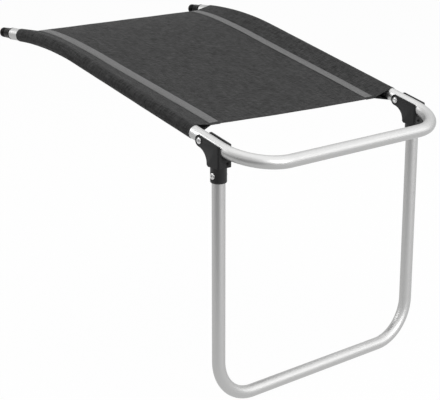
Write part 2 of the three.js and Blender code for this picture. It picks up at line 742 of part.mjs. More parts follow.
// What comes in pairs is made for each side, with its outer face away from the middle
for (const [name, side] of [['left', -1], ['right', 1]]) {
  const hinge = new THREE.Group();
  hinge.position.x = side * HALF_SPACING;
  hinge.add(part(`hinge_bracket_${name}`, brackets[name], 'plastic'));

  const pivotPieces = new THREE.Group();
  pivotPieces.rotation.z = side > 0 ? Math.PI : 0;
  pivotPieces.add(part(`pivot_rivet_${name}`, rivet(HEAD_HALF_WIDTH, HEAD_HALF_WIDTH), 'rivet'));
  pivotPieces.add(part(`pivot_washer_${name}`, washer(HEAD_HALF_WIDTH), 'rivet'));
  pivotPieces.add(part(`pivot_spacer_${name}`, pivotSpacer(), 'nylon'));
  hinge.add(pivotPieces);

  const socketPieces = new THREE.Group();
  socketPieces.position.set(0, -PIVOT_SETBACK, -SOCKET_RIVET_DEPTH);
  socketPieces.rotation.z = side > 0 ? Math.PI : 0;
  socketPieces.add(part(`socket_rivet_${name}`, rivet(SPOTFACE_DISTANCE, SPOTFACE_DISTANCE), 'rivet'));
  socketPieces.add(part(`socket_washer_${name}`, washer(SPOTFACE_DISTANCE), 'rivet'));
  hinge.add(socketPieces);
  assembly.add(hinge);

  const plug = part(`end_plug_${name}`, endPlug(), 'plug');
  plug.position.set(side * HALF_SPACING, ARM_TIP.point.y, ARM_TIP.point.z);
  plug.quaternion.setFromUnitVectors(Y_AXIS, ARM_TIP.heading);
  assembly.add(plug);
  assembly.add(part(`seam_band_${name}`, seamBand(side), 'band'));
}

export default assembly;
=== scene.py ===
# A folding leg rest for a camping chair: its looks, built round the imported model. Lengths are in metres.
import json
import math

import bmesh
import bpy
import numpy as np
from mathutils import Matrix, Vector


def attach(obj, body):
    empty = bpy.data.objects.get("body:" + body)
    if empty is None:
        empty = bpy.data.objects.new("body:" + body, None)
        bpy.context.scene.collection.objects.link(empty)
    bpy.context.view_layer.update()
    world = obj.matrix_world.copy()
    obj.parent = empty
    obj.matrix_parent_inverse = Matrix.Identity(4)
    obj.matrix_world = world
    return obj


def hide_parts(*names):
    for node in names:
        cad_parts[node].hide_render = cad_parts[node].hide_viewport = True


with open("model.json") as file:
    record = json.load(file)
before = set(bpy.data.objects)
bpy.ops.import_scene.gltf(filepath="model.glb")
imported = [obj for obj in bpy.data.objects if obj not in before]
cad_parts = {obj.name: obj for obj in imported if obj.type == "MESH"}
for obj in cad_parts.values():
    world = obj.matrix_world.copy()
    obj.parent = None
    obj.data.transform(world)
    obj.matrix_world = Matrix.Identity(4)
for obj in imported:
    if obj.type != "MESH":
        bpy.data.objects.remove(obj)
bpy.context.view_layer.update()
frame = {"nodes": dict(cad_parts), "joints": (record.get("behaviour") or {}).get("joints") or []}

MM = 0.001

# Tubes
TUBE_RADIUS = 11 * MM
TUBE_WALL = 1.2 * MM
TUBE_SIDES = 72
BEND_STEP = math.radians(3)
HALF_SPACING = 228.5 * MM

# Arm frame: distances along an arm are counted from the pivot
PIVOT = Vector(frame["joints"][0]["pos_m"])
ARM_RISE = math.radians(13.15)
FRONT_REACH = 115 * MM
FRONT_BEND_RADIUS = 79 * MM
REAR_BEND_START = 355 * MM
REAR_BEND_RADIUS = 680 * MM
REAR_BEND_ANGLE = math.radians(15)
REAR_BEND_LENGTH = REAR_BEND_RADIUS * REAR_BEND_ANGLE
ARM_END = 563 * MM

# Leg
PIVOT_SETBACK = 30.5 * MM
LEG_BEND_RADIUS = 74 * MM
LEG_TOP = -24.6 * MM
SOCKET_RIVET_DEPTH = 52 * MM

# Rivets, washers and drilled holes
RIVET_RADIUS = 3 * MM
RIVET_HOLE_RADIUS = 3.3 * MM
RIVET_CLEARANCE = 0.3 * MM
HEAD_HALF_WIDTH = 14.2 * MM
SPOTFACE_DISTANCE = 12.7 * MM
WASHER_RADIUS = 5.4 * MM
WASHER_THICKNESS = 0.8 * MM
HEAD_RADIUS = 5.25 * MM
HEAD_RIM = 0.45 * MM
HEAD_HEIGHT = 1.8 * MM
ROLLED_RADIUS = 4.2 * MM
ROLLED_RIM = 0.5 * MM
ROLLED_HEIGHT = 1.3 * MM
# The head's radius and its depth below the top, in millimetres, from the middle outwards
HEAD_DIMPLE = (
    (0, 3.4), (1.3, 3.3), (1.65, 2.6), (1.75, 0.5), (2.05, 0.08), (2.5, 0), (3.5, 0.22), (4.5, 0.62), (5.0, 1.0)
)
# The same for the rolled end, from the outside inwards
ROLLED_END = ((3.9, 0.45), (3.4, 0.12), (2.8, 0), (2.2, 0.1), (1.7, 0.5), (1.2, 1.0), (0, 1.4))

# Plugs. The pairs are a radius and a distance beyond the end of the arm, in millimetres
PLUG_SPIGOT_END = ((0, -16), (8.5, -16))
PLUG_SPIGOT_LENGTH = 15 * MM
PLUG_SPIGOT_PLAY = 0.3 * MM
PLUG_SEAT_GAP = 0.3 * MM
PLUG_FLANGE_END = 4.3 * MM
PLUG_BODY = (
    (10.6, 5.3), (9.7, 8.1), (9.4, 9.0), (9.4, 20.9), (7.3, 20.9), (7.3, 23.3), (9.0, 23.3), (9.0, 33.3)
)
PLUG_TIP_RADIUS = 7 * MM
PLUG_TIP_ROUNDING = 2 * MM
PLUG_TIP_STEPS = 6
PLUG_EDGE = 0.2 * MM
BRACKET_EDGE = 0.4 * MM

# Cloth
CLOTH_THICKNESS = 0.7 * MM
SLING_FRONT = 27.5 * MM
SLING_REAR = 536.5 * MM
SLEEVE_END_SKEW = 3 * MM
FRONT_EDGE_SETBACK = 4.5 * MM
FRONT_EDGE_SKEW = 10 * MM
FRONT_EDGE_RUN = 160 * MM
SEAM_FRONT_OFFSET = 45.5 * MM
SEAM_REAR_OFFSET = 36 * MM
SLING_SAG = 2 * MM
SHEET_DROP = 3.3 * MM
SHEET_DROP_PLACE = 370 * MM
SHEET_DROP_REACH = 300 * MM
REAR_EDGE_LIFT = 5.7 * MM
REAR_LIFT_RUN = 157 * MM
SLEEVE_RADIUS = 11.45 * MM
LAYER_PITCH = 0.8 * MM
BAND_WIDTH = 19.5 * MM
BAND_THICKNESS = 0.8 * MM
BAND_INSET = 5 * MM
BAND_EDGE_RADIUS = 0.35 * MM
HEM_WIDTH = 11 * MM
TAPE_STITCH_INSET = 2.2 * MM
TAPE_STITCH_START = 7 * MM
HEM_STITCH_INSET = 2.5 * MM
HEM_STITCH_GAP = 2 * MM
HEM_THREAD_RADIUS = 0.25 * MM
THREAD_STANDOFF = 0.05 * MM

# How finely the cloth is divided
CLOTH_STATIONS = 122
ALLOWANCE_STEPS = 8
SLEEVE_STEPS = 26
SLEEVE_FLAT_STEPS = 14
SHEET_STEPS = 54

# Unevenness of the stretched cloth: depths, and waves in radians for each metre
SHEET_RIPPLE = 0.22 * MM
SHEET_WAVES_ALONG = 47
SHEET_WAVES_SKEW = 33
SHEET_WAVES_ACROSS = 31
PUCKER_DEPTH = 0.10 * MM
PUCKER_PITCH = 8.4 * MM
PUCKER_REACH = 6 * MM
SLEEVE_RIPPLE = 0.10 * MM
SLEEVE_WAVES = (71, 29)

ARM_DIRECTION = Vector((0, math.cos(ARM_RISE), math.sin(ARM_RISE)))
X_AXIS = Vector((1, 0, 0))
Y_AXIS = Vector((0, 1, 0))


# Routes of straight runs and round bends
def walk(start, heading, moves):
    """Points and headings along moves that are a straight (length,) or a bend (axis, angle, radius)."""
    points, tangents = [start.copy()], [heading.copy()]
    for move in moves:
        here, ahead = points[-1].copy(), tangents[-1].copy()
        if len(move) == 1:
            points.append(here + ahead * move[0])
            tangents.append(ahead)
            continue
        axis, angle, radius = move
        centre = here + axis.cross(ahead) * radius
        steps = math.ceil(angle / BEND_STEP)
        for step in range(1, steps + 1):
            turn = Matrix.Rotation(angle * step / steps, 3, axis)
            points.append(centre + turn @ (here - centre))
            tangents.append(turn @ ahead)
    return points, tangents


def both_sides(points):
    """A route from the middle to the left, with its mirror image on the right."""
    right = [Vector((-p.x, p.y, p.z)) for p in points[1:]]
    return points[:0:-1] + right


ARM_NORMAL = Vector((0, -math.sin(ARM_RISE), math.cos(ARM_RISE)))


def seat_route():
    start = PIVOT - ARM_DIRECTION * FRONT_REACH
    moves = [
        (HALF_SPACING - FRONT_BEND_RADIUS,),
        (-ARM_NORMAL, math.pi / 2, FRONT_BEND_RADIUS),
        (FRONT_REACH - FRONT_BEND_RADIUS + REAR_BEND_START,),
        (-X_AXIS, REAR_BEND_ANGLE, REAR_BEND_RADIUS),
        (ARM_END - REAR_BEND_START - REAR_BEND_LENGTH,),
    ]
    return both_sides(walk(start, -X_AXIS, moves)[0])


def leg_route():
    start = Vector((0, PIVOT.y - PIVOT_SETBACK, TUBE_RADIUS))
    rise = PIVOT.z + LEG_TOP - TUBE_RADIUS - LEG_BEND_RADIUS
    moves = [
        (HALF_SPACING - LEG_BEND_RADIUS,),
        (Y_AXIS, math.pi / 2, LEG_BEND_RADIUS),
        (rise,),
    ]
    return both_sides(walk(start, -X_AXIS, moves)[0])


def arm_place(distance):
    """The middle of an arm at a distance from the pivot, seen along X, and its heading."""
    bend = min(max((distance - REAR_BEND_START) / REAR_BEND_RADIUS, 0), REAR_BEND_ANGLE)
    before = min(distance, REAR_BEND_START)
    after = max(distance - REAR_BEND_START - REAR_BEND_LENGTH, 0)
    slope = ARM_RISE - bend
    heading = Vector((0, math.cos(slope), math.sin(slope)))
    place = PIVOT + ARM_DIRECTION * before
    place += REAR_BEND_RADIUS * (Vector((0, -math.sin(slope), math.cos(slope))) - ARM_NORMAL)
    return place + heading * after, heading


# Node helpers
def node(tree, kind, values=None, **settings):
    made = tree.nodes.new(kind)
    for name, value in settings.items():
        setattr(made, name, value)
    for key, value in (values or {}).items():
        if isinstance(value, bpy.types.NodeSocket):
            tree.links.new(value, made.inputs[key])
        else:
            made.inputs[key].default_value = value
    return made


def maths(tree, operation, *values):
    return node(tree, "ShaderNodeMath", dict(enumerate(values)), operation=operation).outputs[0]


def span(tree, value, low, high, to_low, to_high):
    values = {"Value": value, "From Min": low, "From Max": high, "To Min": to_low, "To Max": to_high}
    return node(tree, "ShaderNodeMapRange", values).outputs["Result"]


def noise(tree, place, scale, detail):
    return node(tree, "ShaderNodeTexNoise", {"Vector": place, "Scale": scale, "Detail": detail}).outputs[0]


def blend_colours(tree, factor, first, second, way="MIX"):
    made = node(tree, "ShaderNodeMix", data_type="RGBA", blend_type=way)
    for socket, value in ((made.inputs[0], factor), (made.inputs[6], first), (made.inputs[7], second)):
        if isinstance(value, bpy.types.NodeSocket):
            tree.links.new(value, socket)
        else:
            socket.default_value = value
    return made.outputs[2]


def new_group(name, kind, inputs, outputs):
    tree = bpy.data.node_groups.new(name, kind)
    for way, sockets in (("INPUT", inputs), ("OUTPUT", outputs)):
        for label, socket_type, *value in sockets:
            socket = tree.interface.new_socket(label, in_out=way, socket_type="NodeSocket" + socket_type)
            if value:
                socket.default_value = value[0]
    return tree, tree.nodes.new("NodeGroupInput").outputs, tree.nodes.new("NodeGroupOutput").inputs


# Geometry trees: a tube or a tape along a route, and a row of stitches
def end_tree(tree, geometry, material, result):
    """Gives a tree's geometry its smooth shading and its material, as real meshes."""
    smooth = node(tree, "GeometryNodeSetShadeSmooth", {"Geometry": geometry})
    real = node(tree, "GeometryNodeRealizeInstances", {"Geometry": smooth.outputs[0]})
    dressed = node(tree, "GeometryNodeSetMaterial", {"Geometry": real.outputs[0], "Material": material})
    tree.links.new(dressed.outputs[0], result)


def run_map(tree, route, profile):
    """Keeps the length along the route and the share round the profile."""
    spots = []
    for curve, output in ((route, "Length"), (profile, "Factor")):
        spot = node(tree, "GeometryNodeSplineParameter").outputs[output]
        kept = node(tree, "GeometryNodeCaptureAttribute", {"Geometry": curve})
        kept.capture_items.new("FLOAT", output)
        tree.links.new(spot, kept.inputs[1])
        spots.append(kept)
    return spots


def swept(tree, route, profile):
    """A mesh along a route, open at its ends, that keeps its map in the attribute run."""
    along, around = run_map(tree, route, profile)
    curves = {"Curve": along.outputs[0], "Profile Curve": around.outputs[0]}
    mesh = node(tree, "GeometryNodeCurveToMesh", curves)
    place = node(tree, "ShaderNodeCombineXYZ", {"X": along.outputs[1], "Y": around.outputs[1]})
    stored = node(
        tree,
        "GeometryNodeStoreNamedAttribute",
        {"Geometry": mesh.outputs[0], "Name": "run", "Value": place.outputs[0]},
        data_type="FLOAT2",
        domain="CORNER",
    )
    return stored.outputs[0]


def bent_tube_tree():
    tree, given, result = new_group(
        "bent tube",
        "GeometryNodeTree",
        [
            ("Route", "Geometry"),
            ("Radius", "Float", TUBE_RADIUS),
            ("Sides", "Int", TUBE_SIDES),
            ("Material", "Material"),
        ],
        [("Tube", "Geometry")],
    )
    curve = node(tree, "GeometryNodeMeshToCurve", {"Mesh": given["Route"]})
    circle = {"Resolution": given["Sides"], "Radius": given["Radius"]}
    ring = node(tree, "GeometryNodeCurvePrimitiveCircle", circle)
    end_tree(tree, swept(tree, curve.outputs[0], ring.outputs[0]), given["Material"], result[0])
    return tree


def tape_tree():
    tree, given, result = new_group(
        "sewn tape",
        "GeometryNodeTree",
        [
            ("Route", "Geometry"),
            ("Width", "Float", BAND_WIDTH),
            ("Thickness", "Float", BAND_THICKNESS),
            ("Edge Radius", "Float", BAND_THICKNESS / 2),
            ("Material", "Material"),
        ],
        [("Tape", "Geometry")],
    )
    line = node(tree, "GeometryNodeMeshToCurve", {"Mesh": given["Route"]})
    upright = node(tree, "GeometryNodeSetCurveNormal", {"Curve": line.outputs[0]})
    upright.mode = "Z_UP"
    outline = node(
        tree,
        "GeometryNodeCurvePrimitiveQuadrilateral",
        {"Width": given["Width"], "Height": given["Thickness"]},
        mode="RECTANGLE",
    )
    rounded = node(
        tree,
        "GeometryNodeFilletCurve",
        {"Curve": outline.outputs[0], "Radius": given["Edge Radius"], "Limit Radius": True},
    )
    rounded.mode = "POLY"
    rounded.inputs["Count"].default_value = 4
    even = node(tree, "GeometryNodeResampleCurve", {"Curve": rounded.outputs[0]})
    even.mode = "EVALUATED"
    end_tree(tree, swept(tree, upright.outputs[0], even.outputs[0]), given["Material"], result[0])
    return tree


def stitch_tree():
    tree, given, result = new_group(
        "stitch row",
        "GeometryNodeTree",
        [
            ("Route", "Geometry"),
            ("Stitch Length", "Float", 3.4 * MM),
            ("Stitch Pitch", "Float", 4.2 * MM),
            ("Thread Radius", "Float", 0.32 * MM),
            ("Wander", "Float", 0.05),
            ("Seed", "Int", 0),
            ("Material", "Material"),
        ],
        [("Stitches", "Geometry")],
    )
    curve = node(tree, "GeometryNodeMeshToCurve", {"Mesh": given["Route"]})
    holes = node(
        tree,
        "GeometryNodeResampleCurve",
        {"Curve": curve.outputs[0], "Length": given["Stitch Pitch"]},
        mode="LENGTH",
    )
    bead = node(tree, "GeometryNodeMeshIcoSphere", {"Radius": 1.0, "Subdivisions": 2})
    half_length = node(tree, "ShaderNodeMath", {0: given["Stitch Length"], 1: 0.5}, operation="MULTIPLY")
    size = node(
        tree,
        "ShaderNodeCombineXYZ",
        {"X": half_length.outputs[0], "Y": given["Thread Radius"], "Z": given["Thread Radius"]},
    )
    thread = node(tree, "GeometryNodeTransform", {"Geometry": bead.outputs[0], "Scale": size.outputs[0]})
    tangent = node(tree, "GeometryNodeInputTangent")
    heading = node(tree, "FunctionNodeAlignRotationToVector", {"Vector": tangent.outputs[0]}, axis="X")
    low = node(tree, "ShaderNodeMath", {0: given["Wander"], 1: -1.0}, operation="MULTIPLY")
    stray = node(tree, "FunctionNodeRandomValue", data_type="FLOAT")
    for socket in stray.inputs:
        if socket.enabled and socket.name in ("Min", "Max", "Seed"):
            source = {"Min": low.outputs[0], "Max": given["Wander"], "Seed": given["Seed"]}[socket.name]
            tree.links.new(source, socket)
    stray_value = next(o for o in stray.outputs if o.enabled)
    turned = node(tree, "ShaderNodeCombineXYZ", {"Z": stray_value})
    swing = node(tree, "FunctionNodeEulerToRotation", {0: turned.outputs[0]})
    rotation = node(
        tree,
        "FunctionNodeRotateRotation",
        {"Rotation": heading.outputs[0], "Rotate By": swing.outputs[0]},
        rotation_space="LOCAL",
    )
    row = node(
        tree,
        "GeometryNodeInstanceOnPoints",
        {"Points": holes.outputs[0], "Instance": thread.outputs[0], "Rotation": rotation.outputs[0]},
    )
    end_tree(tree, row.outputs[0], given["Material"], result[0])
    return tree


def line_mesh(name, lines):
    """Open lines of points as a mesh of edges, for a tree to follow."""
    points, edges = [], []
    for line in lines:
        edges += [(len(points) + i, len(points) + i + 1) for i in range(len(line) - 1)]
        points += [tuple(p) for p in line]
    mesh = bpy.data.meshes.new(name)
    mesh.from_pydata(points, edges, [])
    return mesh


def link_new(name, mesh):
    piece = bpy.data.objects.new(name, mesh)
    bpy.context.scene.collection.objects.link(piece)
    return piece


def flatten(piece):
    """Puts the evaluated shape in the piece's own mesh and takes its modifiers off."""
    graph = bpy.context.evaluated_depsgraph_get()
    made = bpy.data.meshes.new_from_object(piece.evaluated_get(graph), depsgraph=graph)
    piece.modifiers.clear()
    piece.data = made
    made.name = piece.name
    return piece


def grow(name, tree, lines, **values):
    """A piece that a geometry tree makes along some lines, as a plain mesh."""
    piece = link_new(name, line_mesh(name, lines))
    modifier = piece.modifiers.new(tree.name, "NODES")
    modifier.node_group = tree
    sockets = {item.name: item.identifier for item in tree.interface.items_tree if item.in_out == "INPUT"}
    for label, value in values.items():
        modifier[sockets[label.replace("_", " ")]] = value
    return flatten(piece)


# Materials
def colour(level, tint=(1, 1, 1)):
    return (*(level * part for part in tint), 1)


# Noise lies mostly between these two values
NOISE_LOW, NOISE_HIGH = 0.3, 0.7
FINE_SHARE = 0.4
GRAIN_HEIGHT = 0.1 * MM


def grain_group():
    """Fine grain in the gloss and the surface, with slow patches of wear."""
    tree, given, result = new_group(
        "fine grain",
        "ShaderNodeTree",
        [
            ("Vector", "Vector"),
            ("Grain Scale", "Float", 900.0),
            ("Patch Scale", "Float", 30.0),
            ("Low", "Float", 0.3),
            ("High", "Float", 0.5),
            ("Depth", "Float", 0.1),
        ],
        [("Roughness", "Float"), ("Patch", "Float"), ("Normal", "Vector")],
    )
    fine = noise(tree, given["Vector"], given["Grain Scale"], 2.0)
    slow = noise(tree, given["Vector"], given["Patch Scale"], 3.0)
    fine_part = maths(tree, "MULTIPLY", fine, FINE_SHARE)
    slow_part = maths(tree, "MULTIPLY", slow, 1 - FINE_SHARE)
    both = maths(tree, "ADD", fine_part, slow_part)
    rough = span(tree, both, NOISE_LOW, NOISE_HIGH, given["Low"], given["High"])
    relief = {"Height": fine, "Strength": given["Depth"], "Distance": GRAIN_HEIGHT}
    bump = node(tree, "ShaderNodeBump", relief)
    tree.links.new(rough, result["Roughness"])
    tree.links.new(slow, result["Patch"])
    tree.links.new(bump.outputs[0], result["Normal"])
    return tree


# How the threads' greys change along a thread and from one thread to the next, how they are mixed, how deep a
# thread dips
# # under the next one, and how much painted shade darkens the gaps between threads
THREAD_GREY_RUN = 0.07
THREAD_GREY_STEP = 0.42
WARP_NOISE_PLACE = 7.3
WEFT_GREY_SHARE = 0.48
WARP_GREY_SHARE = 0.38
CLOUD_SHARE = 0.14
CLOUD_SCALE = 26.0
MELANGE_GAIN = 4.0
THREAD_DIP = 0.55
PAINTED_GAP_SHADE = 0.62
THREAD_HEIGHT = 0.25 * MM


def weave_group():
    """A plain weave of coated threads, with threads of slightly different greys and painted shade in the gaps
    between them. X is across, Y is along.
    """
    tree, given, result = new_group(
        "plain weave",
        "ShaderNodeTree",
        [
            ("Vector", "Vector"),
            ("Warp Pitch", "Float", 1.2 * MM),
            ("Weft Pitch", "Float", 1.2 * MM),
            ("Warp Colour", "Color", colour(0.05)),
            ("Weft Colour", "Color", colour(0.09)),
            ("Melange", "Float", 0.3),
            ("Depth", "Float", 0.6),
        ],
        [("Color", "Color"), ("Height", "Float"), ("Normal", "Vector")],
    )
    parts = node(tree, "ShaderNodeSeparateXYZ", {0: given["Vector"]})
    across = maths(tree, "DIVIDE", parts.outputs["X"], given["Warp Pitch"])
    along = maths(tree, "DIVIDE", parts.outputs["Y"], given["Weft Pitch"])
    warp_round = maths(tree, "ABSOLUTE", maths(tree, "SINE", maths(tree, "MULTIPLY", across, math.pi)))
    weft_round = maths(tree, "ABSOLUTE", maths(tree, "SINE", maths(tree, "MULTIPLY", along, math.pi)))
    cell = maths(tree, "ADD", maths(tree, "FLOOR", across), maths(tree, "FLOOR", along))
    weft_up = maths(tree, "MODULO", maths(tree, "ABSOLUTE", cell), 2.0)
    warp_height = maths(tree, "MULTIPLY", warp_round, span(tree, weft_round, 0.0, 1.0, THREAD_DIP, 1.0))
    weft_height = maths(tree, "MULTIPLY", weft_round, span(tree, warp_round, 0.0, 1.0, THREAD_DIP, 1.0))
    height = node(tree, "ShaderNodeMix", {0: weft_up, 2: warp_height, 3: weft_height}).outputs[0]

    # Each thread has its own grey, which changes along it
    def thread_greys(over, run, slot):
        place = node(
            tree,
            "ShaderNodeCombineXYZ",
            {
                "X": maths(tree, "MULTIPLY", run, THREAD_GREY_RUN),
                "Y": maths(tree, "MULTIPLY", maths(tree, "FLOOR", over), THREAD_GREY_STEP),
                "Z": slot,
            },
        )
        return noise(tree, place.outputs[0], 1.0, 2.0)

    weft_greys = maths(tree, "MULTIPLY", thread_greys(along, across, 0.0), WEFT_GREY_SHARE)
    warp_greys = maths(tree, "MULTIPLY", thread_greys(across, along, WARP_NOISE_PLACE), WARP_GREY_SHARE)
    cloud_grey = maths(tree, "MULTIPLY", noise(tree, given["Vector"], CLOUD_SCALE, 3.0), CLOUD_SHARE)
    threads = blend_colours(tree, weft_up, given["Warp Colour"], given["Weft Colour"])
    shade = maths(tree, "ADD", maths(tree, "ADD", weft_greys, warp_greys), cloud_grey)
    gain = maths(tree, "MULTIPLY", given["Melange"], MELANGE_GAIN)
    swing = maths(tree, "MULTIPLY", maths(tree, "SUBTRACT", shade, 0.5), gain)
    # Painted shade: the colour is darkened where the threads dip into the gaps between them
    painted_gap_shade = span(tree, height, 0.0, 0.5, PAINTED_GAP_SHADE, 1.0)
    level = maths(tree, "MULTIPLY", maths(tree, "ADD", swing, 1.0), painted_gap_shade)
    level_colour = node(tree, "ShaderNodeCombineColor", {0: level, 1: level, 2: level}).outputs[0]
    shown = blend_colours(tree, 1.0, threads, level_colour, "MULTIPLY")
    relief = {"Height": height, "Strength": given["Depth"], "Distance": THREAD_HEIGHT}
    bump = node(tree, "ShaderNodeBump", relief)
    tree.links.new(shown, result["Color"])
    tree.links.new(height, result["Height"])
    tree.links.new(bump.outputs[0], result["Normal"])
    return tree


GRAIN = grain_group()
WEAVE = weave_group()


def new_material(name):
    material = bpy.data.materials.new(name)
    material.use_nodes = True
    return material, material.node_tree, material.node_tree.nodes["Principled BSDF"]


def object_place(tree):
    return node(tree, "ShaderNodeTexCoord").outputs["Object"]


def set_sockets(shader, sockets):
    for label, value in sockets.items():
        shader.inputs[label.replace("_", " ")].default_value = value


def grained(name, base, roughness, grain_scale, depth, tint_swing=0.08, place=object_place, **sockets):
    """A material with fine grain. Its colour swings a little with the slow patches."""
    material, tree, shader = new_material(name)
    grain = node(tree, "ShaderNodeGroup", node_tree=GRAIN)
    tree.links.new(place(tree), grain.inputs["Vector"])
    values = {"Grain Scale": grain_scale, "Low": roughness[0], "High": roughness[1], "Depth": depth}
    for label, value in values.items():
        grain.inputs[label].default_value = value
    swing = span(tree, grain.outputs["Patch"], NOISE_LOW, NOISE_HIGH, 0.0, 1.0)
    dark = tuple(part * (1 - tint_swing) for part in base[:3]) + (1,)
    light = tuple(part * (1 + tint_swing) for part in base[:3]) + (1,)
    tree.links.new(blend_colours(tree, swing, dark, light), shader.inputs["Base Color"])
    tree.links.new(grain.outputs["Roughness"], shader.inputs["Roughness"])
    tree.links.new(grain.outputs["Normal"], shader.inputs["Normal"])
    set_sockets(shader, sockets)
    return material


# The tube's grain: its length is drawn out, and its way round is the tube's girth in metres
GRAIN_LENGTHWISE = 0.05
TUBE_GIRTH = 0.069


def tube_place(tree):
    """Along and round the tube, so that the grain is drawn out lengthwise."""
    source = node(tree, "ShaderNodeAttribute", attribute_name="run").outputs["Vector"]
    scale = (GRAIN_LENGTHWISE, TUBE_GIRTH, 1.0)
    return node(tree, "ShaderNodeMapping", {"Vector": source, "Scale": scale}).outputs[0]


def woven(name, warp, weft, pitch, melange, depth, roughness, place, **sockets):
    """A cloth of warp and weft threads, at a pitch across and along. The gaps between threads are rougher, and
    their colour is darkened with painted shade.
    """
    material, tree, shader = new_material(name)
    weave = node(tree, "ShaderNodeGroup", node_tree=WEAVE)
    tree.links.new(place(tree), weave.inputs["Vector"])
    values = {"Warp Pitch": pitch[0], "Weft Pitch": pitch[1], "Warp Colour": warp, "Weft Colour": weft}
    for label, value in {**values, "Melange": melange, "Depth": depth}.items():
        weave.inputs[label].default_value = value
    tree.links.new(weave.outputs["Color"], shader.inputs["Base Color"])
    tree.links.new(weave.outputs["Normal"], shader.inputs["Normal"])
    rough = span(tree, weave.outputs["Height"], 0.0, 1.0, roughness[1], roughness[0])
    tree.links.new(rough, shader.inputs["Roughness"])
    set_sockets(shader, sockets)
    return material


def cloth_place(tree):
    """The length across the cloth laid flat and the length along it."""
    return node(tree, "ShaderNodeAttribute", attribute_name="cloth").outputs["Vector"]


def tape_place(tree):
    """The length round the tape and the length along it."""
    source = node(tree, "ShaderNodeAttribute", attribute_name="run").outputs["Vector"]
    run = node(tree, "ShaderNodeSeparateXYZ", {0: source})
    around = maths(tree, "MULTIPLY", run.outputs["Y"], 2 * (BAND_WIDTH + BAND_THICKNESS))
    return node(tree, "ShaderNodeCombineXYZ", {"X": around, "Y": run.outputs["X"]}).outputs[0]


ALUMINIUM = grained(
    "anodised tube",
    colour(0.47, (1.0, 1, 0.995)),
    roughness=(0.42, 0.48),
    grain_scale=900.0,
    depth=0.02,
    tint_swing=0.03,
    place=tube_place,
    Metallic=1.0,
)
PLASTIC = grained(
    "bracket plastic",
    colour(0.011, (0.98, 1, 1.05)),
    roughness=(0.38, 0.52),
    grain_scale=1400.0,
    depth=0.25,
    Specular_IOR_Level=0.28,
)
PLUG_PLASTIC = grained(
    "plug plastic",
    colour(0.004),
    roughness=(0.22, 0.32),
    grain_scale=900.0,
    depth=0.08,
    Specular_IOR_Level=0.04,
)
STEEL = grained(
    "rivet steel", colour(0.56), roughness=(0.18, 0.28), grain_scale=1600.0, depth=0.10, Metallic=1.0
)
NYLON = grained(
    "spacer nylon", colour(0.72, (1, 0.98, 0.92)), roughness=(0.45, 0.6), grain_scale=900.0, depth=0.10
)
CLOTH = woven(
    "sling cloth",
    warp=colour(0.0215),
    weft=colour(0.0430),
    pitch=(1.15 * MM, 1.05 * MM),
    melange=1.3,
    depth=0.55,
    roughness=(0.62, 0.85),
    place=cloth_place,
    Specular_IOR_Level=0.14,
)
TAPE = woven(
    "seam tape",
    warp=colour(0.130),
    weft=colour(0.155),
    pitch=(0.9 * MM, 0.8 * MM),
    melange=0.12,
    depth=0.5,
    roughness=(0.6, 0.8),
    place=tape_place,
    Specular_IOR_Level=0.4,
)
THREAD = grained("tape thread", colour(0.15), roughness=(0.5, 0.65), grain_scale=3000.0, depth=0.3)
DARK_THREAD = grained("cloth thread", colour(0.045), roughness=(0.5, 0.65), grain_scale=3000.0, depth=0.3)


# Pieces
def settle(piece, body, replaced=()):
    """Lets a piece ride a body and take the place of the model's nodes."""
    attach(piece, body)
    if replaced:
        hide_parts(*replaced)
    return piece


def smooth(piece, crease):
    piece.data.shade_smooth()
    piece.data.set_sharp_from_angle(angle=math.radians(crease))
    return piece


def from_bmesh(name, made, material):
    mesh = bpy.data.meshes.new(name)
    made.to_mesh(mesh)
    made.free()
    mesh.materials.append(material)
    return link_new(name, mesh)


def turned(name, profile, place, heading, material, sides=56, edge=0.12 * MM):
    """A profile of (radius, distance) points turned round a heading from a place. It may be a closed one."""
    turn = Matrix.Translation(place) @ Vector(heading).to_track_quat("Z", "Y").to_matrix().to_4x4()
    closed = profile[0] == profile[-1]
    made = bmesh.new()
    rings = []
    for radius, along in profile[:-1] if closed else profile:
        count = sides if radius else 1
        angles = [2 * math.pi * i / sides for i in range(count)]
        spots = [Vector((radius * math.cos(a), radius * math.sin(a), along)) for a in angles]
        rings.append([made.verts.new(turn @ spot) for spot in spots] * (sides // count))
    if closed:
        rings.append(rings[0])
    for first, second in zip(rings, rings[1:]):
        for i in range(sides):
            corners = (first[i - 1], first[i], second[i], second[i - 1])
            made.faces.new(dict.fromkeys(corners))
    bmesh.ops.recalc_face_normals(made, faces=made.faces)
    piece = from_bmesh(name, made, material)
    soft_edges(piece, edge)
    return piece


def soft_edges(piece, width, crease=30):
    """Rounds the edges that are sharper than the crease, in degrees."""
    bevel = piece.modifiers.new("soft edges", "BEVEL")
    bevel.width = width
    bevel.segments = 2
    bevel.limit_method = "ANGLE"
    bevel.angle_limit = math.radians(crease)
    bevel.use_clamp_overlap = True
    bevel.miter_outer = "MITER_ARC"
    flatten(piece)
    return smooth(piece, crease)


def bar_cutter(radius, place, length):
    """A round bar along X that drills both sides at once."""
    cutter = bpy.data.meshes.new("drill")
    made = bmesh.new()
    turn = Matrix.Translation(place) @ Matrix.Rotation(math.pi / 2, 4, "Y")
    bmesh.ops.create_cone(
        made, cap_ends=True, segments=48, radius1=radius, radius2=radius, depth=length, matrix=turn
    )
    made.to_mesh(cutter)
    made.free()
    return link_new("drill", cutter)


